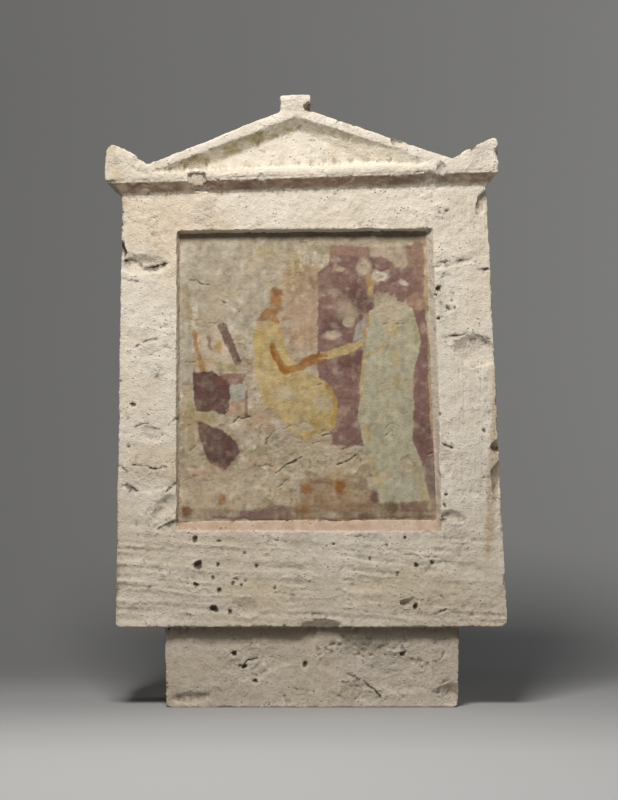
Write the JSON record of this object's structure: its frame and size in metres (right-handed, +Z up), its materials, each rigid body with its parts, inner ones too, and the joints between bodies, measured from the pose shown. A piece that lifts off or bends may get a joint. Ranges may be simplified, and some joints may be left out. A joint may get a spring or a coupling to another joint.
{
  "type": "painted grave stele",
  "caption": "Limestone grave stele like a small shrine front: pediment with three plain acroteria, cornice, sunk painted panel, tooled apron and a tenon to stand on.",
  "frame": {"origin": "middle of the bounding box's foot, on the flat underside of the tenon", "axes": "+Z up along the height, the carved and painted front faces -Y, +X to the viewer's right"},
  "size_m": [0.4762, 0.165, 0.725],
  "materials": {
    "limestone": "matte"
  },
  "bodies": {
    "root": {"stele": "limestone"}
  },
  "joints": []
}
